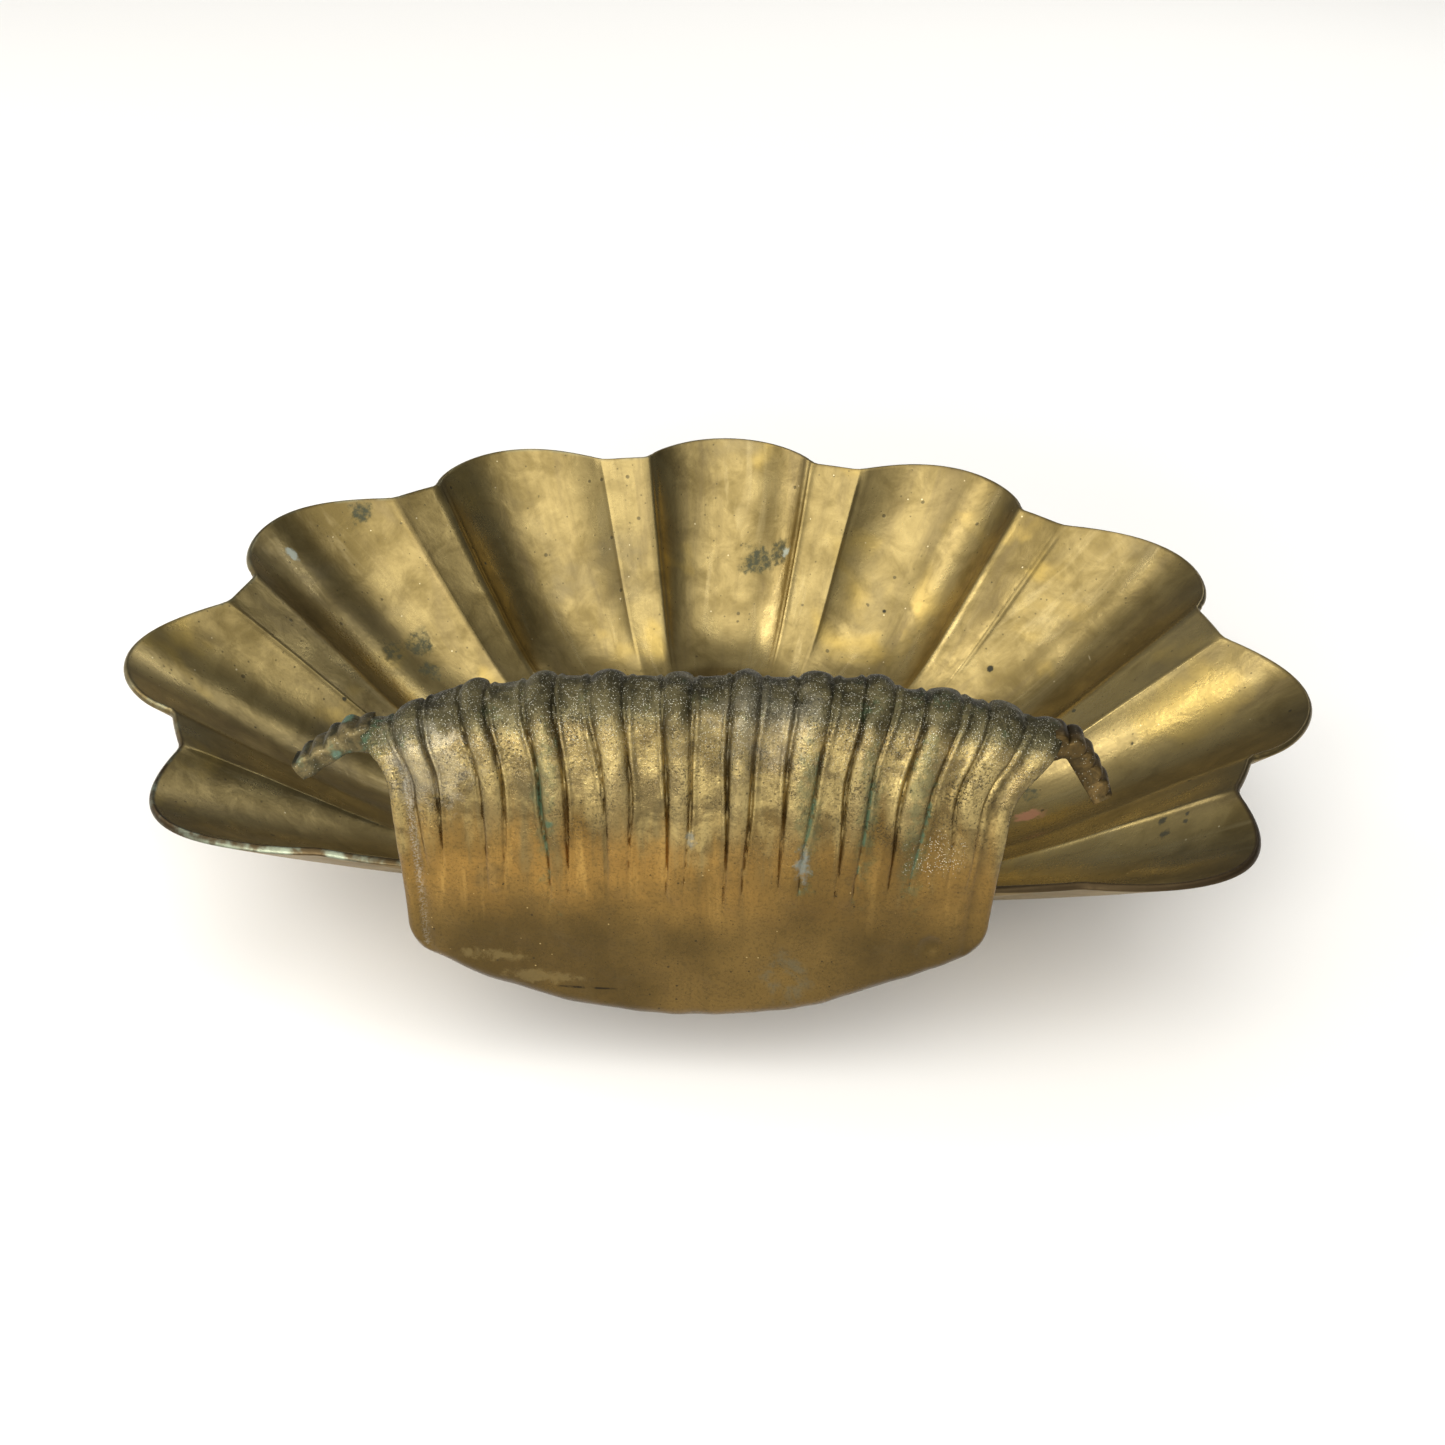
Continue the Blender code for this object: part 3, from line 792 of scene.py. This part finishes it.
def bowl_material():
    """Satin olive-gold brass with cloudy tarnish, a few stains and spots, and a dark worn rim."""
    s = Shade("bowl_brass_patina")
    cloud = s.noise(11, 4, 0.55)
    mottle = s.noise(70, 5, 0.62, distortion=0.6)
    grain = s.noise(620, 3, 0.6)
    blend = s.math("MULTIPLY_ADD", mottle, 0.42, s.times(cloud, 0.58))
    colour = s.mix(s.ease(blend, 0.37, 0.63), (0.165, 0.122, 0.044), (0.345, 0.265, 0.108))
    streaks = s.noise(150, 4, 0.6, s.joined(s.layer("around"), s.layer("inward"), 0.10))
    wisps = s.noise(48, 4, 0.65, s.joined(s.layer("around"), s.layer("inward"), 0.30), 0.8)
    walls = s.ease(s.layer("inward"), 0.62 * RADIUS, 0.42 * RADIUS)
    colour = s.mix(s.times(walls, s.ease(streaks, 0.48, 0.70), 0.30), colour, (0.135, 0.100, 0.042))
    colour = s.mix(s.times(walls, s.ease(wisps, 0.52, 0.70), 0.38), colour, (0.155, 0.118, 0.060))
    colour = s.mix(s.times(walls, s.ease(wisps, 0.45, 0.30), 0.35), colour, (0.46, 0.37, 0.18))
    gold = s.ease(s.noise(24, 3, 0.5, distortion=0.4), 0.58, 0.72)
    colour = s.mix(s.times(gold, 0.50), colour, (0.50, 0.355, 0.095))
    drab = s.ease(s.noise(17, 5, 0.6), 0.55, 0.75)
    colour = s.mix(s.times(drab, 0.55), colour, (0.150, 0.124, 0.072))
    colour = s.mix(s.times(s.ease(grain, 0.5, 0.75), 0.18), colour, (0.13, 0.10, 0.05))

    wobble = s.noise(150, 5, 0.7)
    wide_wobble = s.noise(60, 4, 0.6)
    # Angle in degrees, share of the way in and radius of each mark.
    stains = [(-54, 0.02, 0.0065), (-58, 0.27, 0.0085), (-63, 0.27, 0.0080), (-60, 0.32, 0.0060)]
    stains += [(5, 0.20, 0.0090), (9, 0.17, 0.0070), (87, 0.40, 0.0060)]
    stain = s.most(*[s.blotch(on_bowl(a, t), r, wobble) for a, t, r in stains])
    ragged = s.ease(s.noise(330, 5, 0.7), 0.40, 0.58)
    stain = s.times(stain, s.math("MULTIPLY_ADD", ragged, 0.60, 0.40))
    colour = s.mix(s.times(stain, 0.85), colour, (0.045, 0.055, 0.034))
    pale = s.most(*[s.blotch(on_bowl(a, t), 0.0036, wobble) for a, t in ((-65, 0.06), (10, 0.165))])
    colour = s.mix(pale, colour, (0.34, 0.37, 0.30))
    pink = s.blotch(on_bowl(93, 0.42), 0.0075, wobble, (1.0, 1.6, 1.0))
    colour = s.mix(s.times(pink, 0.8), colour, (0.42, 0.20, 0.13))
    dots = [(114, 0.12, 0.0022), (115, 0.09, 0.0015), (116, 0.13, 0.0030), (114, 0.08, 0.0011)]
    dots += [(46, 0.13, 0.0007), (54, 0.28, 0.0015), (81, 0.21, 0.0011), (87, 0.23, 0.0012)]
    dots += [(29, 0.26, 0.0012), (-83, 0.23, 0.0012), (-41, 0.16, 0.0010), (76, 0.24, 0.0011)]
    dots += [(-95, 0.20, 0.0009)]
    dot = s.most(*[s.blotch(on_bowl(a, t), r, wobble) for a, t, r in dots])
    colour = s.mix(s.times(dot, 0.9), colour, (0.030, 0.032, 0.022))
    dark = s.most(s.specks(160, 0.18, 0.07), s.times(s.specks(420, 0.22, 0.10), 0.8))
    colour = s.mix(s.times(dark, 0.65), colour, (0.05, 0.045, 0.028))
    light = s.most(s.specks(300, 0.15, 0.04), scratches(s, 120, 0.045, 0.022))
    colour = s.mix(s.times(light, 0.55), colour, (0.78, 0.68, 0.42))

    edge = s.layer("edge")
    left = s.ease(s.axis(0), 0.02, -0.05)
    green = s.ease(s.noise(85, 4, 0.6), 0.42, 0.62)
    rim_colour = s.mix(s.times(green, left), (0.042, 0.028, 0.016), (0.20, 0.235, 0.18))
    front = s.ease(s.axis(1), -0.02, -0.11)
    worn = s.times(edge, s.math("MULTIPLY_ADD", front, 0.62, 0.30))
    colour = s.mix(worn, colour, rim_colour)
    under = s.layer("under")
    cast = s.mix(s.ease(wide_wobble, 0.35, 0.7), (0.165, 0.115, 0.048), (0.26, 0.19, 0.085))
    cast = s.mix(s.times(s.ease(s.noise(45, 5, 0.65), 0.58, 0.72), 0.7), cast, (0.11, 0.13, 0.095))
    colour = s.mix(s.times(under, 0.85), colour, cast)

    roughness = s.ease(blend, 0.30, 0.70, 0.36, 0.27)
    roughness = s.math("ADD", roughness, s.times(s.most(stain, dot, pink, s.times(worn, 0.6)), 0.30))
    roughness = s.math("ADD", roughness, s.times(under, 0.18))
    roughness = s.math("ADD", roughness, s.times(s.math("SUBTRACT", grain, 0.5), 0.14))
    roughness = s.math("ADD", roughness, s.times(walls, s.math("SUBTRACT", wisps, 0.5), 0.25))
    metallic = s.ease(s.most(s.times(s.most(stain, dot), 0.6), pale), 0.2, 1.0, 1.0, 0.35)
    lines = scratches(s, 75, 0.03, 0.04)
    s.bumps(
        (s.noise(30, 2, 0.5), 0.30, 0.0012),
        (mottle, 0.26, 0.0007),
        (s.times(walls, streaks), 0.10, 0.0003),
        (grain, 0.20, 0.0002),
        (s.math("SUBTRACT", 1.0, s.most(lines, dark)), 0.25, 0.0002),
    )
    return s.finish(colour, roughness, metallic)


def scroll_material():
    """Warm bronze below, pitted gold above (partly painted light), a dark granular lip, painted highlights on
    the reeds, and verdigris and painted shade in the grooves.
    """
    s = Shade("scroll_brass_patina")
    x = s.axis(0)
    above = s.math("SUBTRACT", s.axis(2), RIM)
    groove, lip, raised = s.layer("groove"), s.layer("lip"), s.layer("raised")
    cloud = s.noise(22, 4, 0.55)
    mottle = s.noise(95, 6, 0.65, distortion=0.5)
    grit = s.noise(950, 3, 0.75)
    wobble = s.noise(170, 5, 0.7)

    low = s.mix(s.ease(cloud, 0.35, 0.68), (0.088, 0.058, 0.020), (0.180, 0.114, 0.036))
    band = s.times(s.ease(above, -0.020, 0.006), s.ease(above, 0.040, 0.016))
    patchy = s.ease(s.noise(38, 4, 0.6), 0.36, 0.60, 0.35, 1.0)
    band = s.times(band, patchy, s.ease(x, 0.045, -0.015, 0.45, 1.0))
    low = s.mix(s.times(band, 0.75), low, (0.345, 0.195, 0.050))
    drips = s.noise(130, 4, 0.6, s.stretched((1.0, 1.0, 0.12)))
    low = s.mix(s.times(s.ease(drips, 0.50, 0.68), 0.45), low, (0.120, 0.078, 0.028))
    low = s.mix(s.times(s.ease(drips, 0.46, 0.32), band, 0.50), low, (0.520, 0.320, 0.090))
    # The lighter gold of the upper face is partly the brass's own tone and partly painted light, where the
    # face turns up towards the lights.
    high = s.mix(s.ease(mottle, 0.38, 0.64), (0.150, 0.112, 0.048), (0.390, 0.300, 0.120))
    uneven_height = s.math("MULTIPLY_ADD", s.math("SUBTRACT", cloud, 0.5), 0.08, above)
    uneven_height = s.math("MULTIPLY_ADD", s.math("SUBTRACT", drips, 0.5), 0.07, uneven_height)
    # Partly painted light: the colour goes from the darker bronze below to the lighter gold above.
    colour = s.mix(s.ease(uneven_height, 0.010, 0.044), low, high)
    # Painted highlight: the tops of the raised reeds are painted lighter on the upper face.
    colour = s.mix(s.times(raised, s.ease(above, 0.012, 0.03), 0.16), colour, (0.58, 0.46, 0.21))
    colour = s.mix(s.times(s.ease(mottle, 0.56, 0.72), 0.35), colour, (0.120, 0.085, 0.035))
    high_drips = s.times(s.ease(drips, 0.52, 0.66), s.ease(above, 0.0, 0.02), 0.45)
    colour = s.mix(high_drips, colour, (0.125, 0.092, 0.038))

    grainy = s.ease(s.noise(1250, 2, 0.6), 0.54, 0.62)
    pits = s.most(s.specks(800, 0.30, 0.30), s.times(grainy, s.ease(s.noise(62, 4, 0.6), 0.42, 0.58)))
    pitted = s.times(pits, s.ease(above, 0.006, 0.040), s.ease(s.noise(48, 3, 0.6), 0.34, 0.54))
    colour = s.mix(s.times(pitted, 0.80), colour, (0.050, 0.042, 0.024))
    few = s.most(s.specks(330, 0.17, 0.10), s.specks(700, 0.20, 0.08))
    few = s.times(few, s.ease(above, 0.03, 0.0, 0.4, 1.0))
    colour = s.mix(s.times(few, 0.8), colour, (0.035, 0.028, 0.016))

    colour = s.mix(s.times(s.ease(grit, 0.48, 0.64), 0.38), colour, (0.060, 0.043, 0.018))
    bright = s.most(s.specks(520, 0.17, 0.03), s.times(scratches(s, 150, 0.040, 0.020), 0.7))
    colour = s.mix(s.times(bright, 0.5), colour, (0.70, 0.52, 0.22))
    # Darker in the grooves and the side creases: painted shade, partly dirt as well.
    groove_shade_and_dirt = s.times(s.ease(groove, 0.20, 0.80), s.ease(s.noise(60, 4, 0.6), 0.34, 0.62, 0.25, 1.0))
    groove_shade_and_dirt = s.times(groove_shade_and_dirt, s.ease(above, -0.004, 0.026, 0.30, 1.0))
    shade_spots = s.ease(s.noise(75, 4, 0.6, s.stretched((1.0, 1.0, 0.35))), 0.54, 0.70)
    shade_spots = s.times(shade_spots, s.ease(above, 0.0, 0.03))
    colour = s.mix(s.times(shade_spots, 0.55), colour, (0.085, 0.070, 0.036))
    colour = s.mix(s.times(groove_shade_and_dirt, 0.55), colour, (0.050, 0.038, 0.019))
    # Distance from the middle, height above the rim and radius of each run.
    green_places = [(-0.0490, 0.052, 0.0056), (0.0345, 0.045, 0.0050)]
    green_places += [(0.0540, 0.045, 0.0046), (0.0700, 0.040, 0.0052)]
    runs = s.most(*[s.blotch(on_scroll(a, h), r, wobble, (1, 1, 0.10)) for a, h, r in green_places])
    green = s.times(runs, s.ease(groove, 0.0, 0.30, 0.40, 1.0), s.ease(s.noise(330, 5, 0.75), 0.38, 0.55))
    corner = s.blotch((-0.105, scroll_face_y(1.0) + 0.006, RIM + 0.064), 0.018, s.noise(120, 5, 0.65))
    flecks = s.times(lip, s.ease(s.noise(70, 5, 0.7), 0.54, 0.70), s.ease(s.noise(420, 4, 0.7), 0.42, 0.58))
    blob = s.blotch(on_scroll(-0.0478, 0.0265), 0.0022, wobble)
    green = s.most(green, s.times(corner, s.ease(wobble, 0.40, 0.60)), s.times(flecks, 0.65), blob)

    dark_lip = s.mix(s.ease(mottle, 0.4, 0.65), (0.034, 0.033, 0.019), (0.088, 0.080, 0.044))
    uneven_lip = s.math("MULTIPLY_ADD", s.math("SUBTRACT", mottle, 0.5), 0.9, lip)
    colour = s.mix(s.times(s.ease(uneven_lip, 0.25, 0.95), 0.88), colour, dark_lip)
    left_haze = s.blotch(on_scroll(-0.086, 0.044), 0.017, wobble)
    top_haze = s.times(s.blotch(on_scroll(0.022, 0.068), 0.020, wobble), 0.6)
    haze = s.times(s.most(left_haze, top_haze), 0.26)
    colour = s.mix(haze, colour, (0.33, 0.31, 0.25))
    colour = s.mix(s.times(green, 0.85), colour, (0.030, 0.072, 0.034))
    blue = s.blotch(on_scroll(0.0338, 0.0150), 0.0036, wobble, (1, 1, 0.42))
    blue = s.most(blue, s.times(s.blotch(on_scroll(-0.0020, 0.0235), 0.0026, wobble, (1, 1, 0.6)), 0.8))
    broken_blue = s.times(blue, s.ease(s.noise(500, 4, 0.7), 0.34, 0.52), 0.80)
    colour = s.mix(broken_blue, colour, (0.125, 0.140, 0.120))
    stain = s.blotch(on_scroll(0.034, -0.034), 0.0125, wobble, (1.0, 1.0, 0.8))
    colour = s.mix(s.times(stain, s.ease(mottle, 0.46, 0.64), 0.30), colour, (0.105, 0.125, 0.100))
    patches = [(-0.068, -0.030, 0.006), (-0.052, -0.038, 0.007)]
    patch = s.most(*[s.blotch(on_scroll(a, h), r, wobble, (0.5, 1, 2.0)) for a, h, r in patches])
    colour = s.mix(s.times(patch, s.ease(mottle, 0.36, 0.50), 0.40), colour, (0.240, 0.180, 0.075))

    whites = s.times(s.specks(1700, 0.33, 0.60), s.blotch(on_scroll(0.0760, 0.0180), 0.0105, wobble))
    sparkle = s.most(s.specks(2100, 0.32, 0.42), s.specks(1250, 0.24, 0.12))
    sparkle = s.times(sparkle, s.ease(s.math("MULTIPLY_ADD", above, 9.0, lip), 0.25, 1.10))
    sparkle = s.most(whites, sparkle, s.times(s.specks(2000, 0.33, 0.50), haze))
    colour = s.mix(s.times(sparkle, 0.80), colour, (0.66, 0.64, 0.52))
    side = s.ease(s.math("ABSOLUTE", x), 0.088, 0.0925)
    left_side = s.times(side, s.ease(above, 0.060, 0.03), s.ease(x, 0.02, -0.02))
    deposit = s.times(left_side, s.ease(groove, 0.20, 0.80), s.ease(s.noise(1500, 3, 0.7), 0.44, 0.60))
    colour = s.mix(s.times(deposit, 0.40), colour, (0.34, 0.33, 0.28))
    hair = s.blotch(on_scroll(-0.037, -0.0420), 0.0150, 0.5, (1.0, 1.0, 22.0))
    colour = s.mix(s.times(hair, s.ease(wobble, 0.35, 0.55), 0.9), colour, (0.02, 0.016, 0.010))

    rough = s.ease(above, -0.02, 0.060, 0.30, 0.28)
    rough = s.math("ADD", rough, s.times(s.most(green, blue, groove_shade_and_dirt, s.times(lip, 0.6), deposit), 0.30))
    rough = s.math("ADD", rough, s.times(s.math("SUBTRACT", mottle, 0.5), 0.32))
    metallic = s.ease(s.most(green, blue, s.times(sparkle, 0.7), deposit), 0.15, 0.9, 1.0, 0.45)
    grain_depth = s.times(grit, s.ease(s.math("MULTIPLY_ADD", above, 10.0, lip), 0.0, 0.9, 0.25, 1.0))
    s.bumps(
        (s.noise(42, 3, 0.5), 0.35, 0.0018),
        (mottle, 0.34, 0.0009),
        (s.math("SUBTRACT", grain_depth, s.times(pitted, 0.8)), 0.60, 0.00045),
        (s.most(sparkle, green, blue), 0.45, 0.0003),
    )
    return s.finish(colour, rough, metallic)


def horn_material(side):
    """Corroded cast brass: verdigris over the left horn, dark bronze with a little green on the right."""
    s = Shade(f"horn_{side}_patina")
    mottle = s.noise(130, 6, 0.68, distortion=0.4)
    grit = s.noise(900, 3, 0.7)
    wobble = s.noise(260, 4, 0.65)
    wear = s.layer("wear")
    if side == "left":
        colour = s.mix(s.ease(mottle, 0.38, 0.62), (0.045, 0.042, 0.024), (0.140, 0.110, 0.052))
        green = s.ease(s.noise(75, 5, 0.62), 0.50, 0.64)
        colour = s.mix(s.times(green, 0.85), colour, (0.050, 0.110, 0.072))
    else:
        colour = s.mix(s.ease(mottle, 0.38, 0.66), (0.040, 0.028, 0.012), (0.112, 0.073, 0.027))
        green = s.times(s.ease(s.noise(80, 4, 0.6), 0.66, 0.76), 0.7)
        colour = s.mix(s.times(green, 0.6), colour, (0.10, 0.14, 0.10))
    colour = s.mix(s.times(s.ease(grit, 0.45, 0.75), 0.55), colour, (0.045, 0.038, 0.022))
    worn = s.times(s.ease(wear, 0.80, 1.0), s.ease(wobble, 0.45, 0.62), 0.30)
    colour = s.mix(worn, colour, (0.34, 0.27, 0.15))
    sparkle = s.times(s.specks(1900, 0.32, 0.10), 0.45)
    colour = s.mix(sparkle, colour, (0.60, 0.58, 0.46))
    rough = s.math("ADD", 0.42, s.times(mottle, 0.22))
    metallic = s.ease(green, 0.3, 1.0, 1.0, 0.25)
    s.bumps((mottle, 0.35 if side == "left" else 0.18, 0.0007), (grit, 0.25, 0.0002))
    return s.finish(colour, rough, metallic)


def braze_material():
    """Rough yellow brazing brass with dark flux in its hollows."""
    s = Shade("braze_brass")
    mottle = s.noise(240, 5, 0.65)
    grit = s.noise(1000, 3, 0.7)
    colour = s.mix(s.ease(mottle, 0.36, 0.62), (0.17, 0.12, 0.05), (0.46, 0.35, 0.14))
    colour = s.mix(s.times(s.specks(700, 0.3, 0.3), 0.8), colour, (0.05, 0.045, 0.03))
    rough = s.math("ADD", 0.38, s.times(grit, 0.25))
    s.bumps((mottle, 0.6, 0.0008), (grit, 0.4, 0.0002))
    return s.finish(colour, rough, 1.0)


# Stage.


def make_floor():
    """A plain pale floor."""
    material = bpy.data.materials.new("pale_floor")
    material.use_nodes = True
    shader = material.node_tree.nodes["Principled BSDF"]
    shader.inputs["Base Color"].default_value = (0.86, 0.86, 0.85, 1.0)
    shader.inputs["Roughness"].default_value = 0.9
    half = 30.0
    data = bpy.data.meshes.new("floor")
    corners = [(-half, -half, 0), (half, -half, 0), (half, half, 0), (-half, half, 0)]
    data.from_pydata(corners, [], [(0, 1, 2, 3)])
    data.materials.append(material)
    floor = bpy.data.objects.new("floor", data)
    just_under_the_foot = -0.0002
    floor.location.z = just_under_the_foot
    bpy.context.scene.collection.objects.link(floor)


def add_light(name, place, aim, size, power, colour=(1.0, 1.0, 1.0)):
    """A soft rectangular light that faces a point."""
    data = bpy.data.lights.new(name, "AREA")
    data.shape = "RECTANGLE"
    data.size, data.size_y = size
    data.energy = power
    data.color = colour
    light = bpy.data.objects.new(name, data)
    light.location = place
    light.rotation_euler = (Vector(aim) - Vector(place)).to_track_quat("-Z", "Y").to_euler()
    bpy.context.scene.collection.objects.link(light)


def make_world():
    """Soft surroundings, bright above and to the front left, dimmer to the right and behind."""
    world = bpy.data.worlds.new("studio")
    world.use_nodes = True
    tree = world.node_tree
    place = tree.nodes.new("ShaderNodeTexCoord").outputs["Generated"]
    facing = tree.nodes.new("ShaderNodeVectorMath")
    facing.operation = "DOT_PRODUCT"
    tree.links.new(place, facing.inputs[0])
    facing.inputs[1].default_value = Vector((-0.55, -0.45, 0.70)).normalized()
    spread = tree.nodes.new("ShaderNodeMapRange")
    spread.interpolation_type = "SMOOTHSTEP"
    spread.inputs["From Min"].default_value = -0.35
    spread.inputs["From Max"].default_value = 1.0
    tree.links.new(facing.outputs["Value"], spread.inputs["Value"])
    ramp = tree.nodes.new("ShaderNodeMix")
    ramp.data_type = "RGBA"
    dim, bright = [socket for socket in ramp.inputs if socket.type == "RGBA"]
    dim.default_value = (0.16, 0.17, 0.19, 1.0)
    bright.default_value = (1.0, 0.98, 0.94, 1.0)
    tree.links.new(spread.outputs["Result"], ramp.inputs["Factor"])
    colour = next(socket for socket in ramp.outputs if socket.type == "RGBA")
    tree.links.new(colour, tree.nodes["Background"].inputs["Color"])
    tree.nodes["Background"].inputs["Strength"].default_value = 0.75
    bpy.context.scene.world = world


def make_lights():
    """Soft daylight: a broad main light from above and the front, and four windows round the dish."""
    data = bpy.data.lights.new("main", "SUN")
    data.energy = 1.58
    data.angle = math.radians(60)
    data.color = (1.0, 0.975, 0.93)
    light = bpy.data.objects.new("main", data)
    light.rotation_euler = Vector((-0.12, -0.50, 1.0)).to_track_quat("Z", "Y").to_euler()
    bpy.context.scene.collection.objects.link(light)
    middle = (0, 0, 0.06)
    add_light("window_left", (-1.5, 0.3, 1.2), middle, (0.5, 1.1), 9, (1.0, 0.97, 0.92))
    add_light("window_top", (0.95, -0.35, 1.45), middle, (0.8, 0.8), 3, (1.0, 0.98, 0.94))
    add_light("window_front", (-0.5, -1.7, 0.55), middle, (1.3, 0.5), 30, (1.0, 0.97, 0.92))
    add_light("window_back", (0.7, 1.6, 1.0), middle, (0.8, 0.5), 2.5)


def make_camera():
    """The camera, at the viewing angle of the picture."""
    back = Vector((math.sin(HEADING) * math.cos(TILT), -math.cos(HEADING) * math.cos(TILT), math.sin(TILT)))
    right = Vector((math.cos(HEADING), math.sin(HEADING), 0))
    up = back.cross(right)
    rolled_right = right * math.cos(ROLL) + up * math.sin(ROLL)
    rolled_up = up * math.cos(ROLL) - right * math.sin(ROLL)
    matrix = Matrix((rolled_right, rolled_up, back)).transposed().to_4x4()
    matrix.translation = EYE
    data = bpy.data.cameras.new("camera")
    data.sensor_width = 36
    data.lens = LENS
    data.clip_start = 0.01
    camera = bpy.data.objects.new("camera", data)
    camera.matrix_world = matrix
    bpy.context.scene.collection.objects.link(camera)
    bpy.context.scene.camera = camera


bpy.context.scene.view_settings.view_transform = "Standard"
make_camera()
make_world()
make_lights()
make_floor()
make_bowl(bowl_material())
make_scroll(scroll_material())
make_horn("left", horn_material("left"))
make_horn("right", horn_material("right"))
make_braze(braze_material())

bpy.context.view_layer.update()
